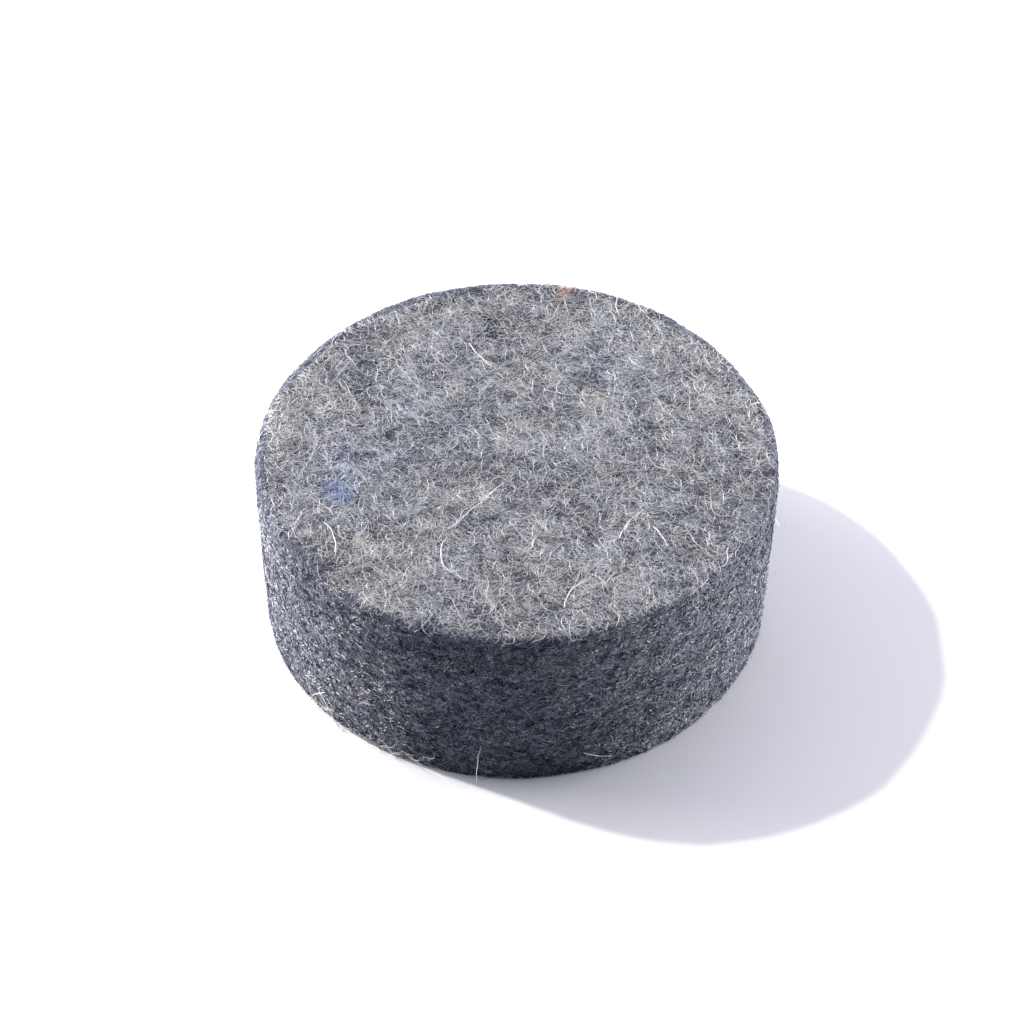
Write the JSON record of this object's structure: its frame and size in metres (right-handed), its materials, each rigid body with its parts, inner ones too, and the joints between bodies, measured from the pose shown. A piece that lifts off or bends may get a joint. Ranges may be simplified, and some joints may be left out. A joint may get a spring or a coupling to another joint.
{
  "type": "felt polishing wheel",
  "caption": "Thick round polishing wheel of pressed grey wool felt with a closed flat working face and a threaded spindle bush set flush in its back.",
  "frame": {"origin": "centre of the back face, where the wheel lies on a bench", "axes": "+Z along the wheel's axis, out of the closed working face; X and Y are any two directions square to it"},
  "size_m": [0.065, 0.065, 0.025],
  "materials": {
    "felt": "dense pressed wool felt, matted and slightly hairy",
    "glue": "cured amber epoxy glue",
    "fibre": "vulcanised fibre sheet, satin",
    "steel": "turned steel, zinc plated",
    "aluminium": "satin, hammered flush"
  },
  "bodies": {
    "root": {"felt_body": "felt", "glue_layer": "glue", "backing_disc": "fibre", "threaded_bush": "steel", "flange_rivets": "aluminium"}
  },
  "joints": []
}
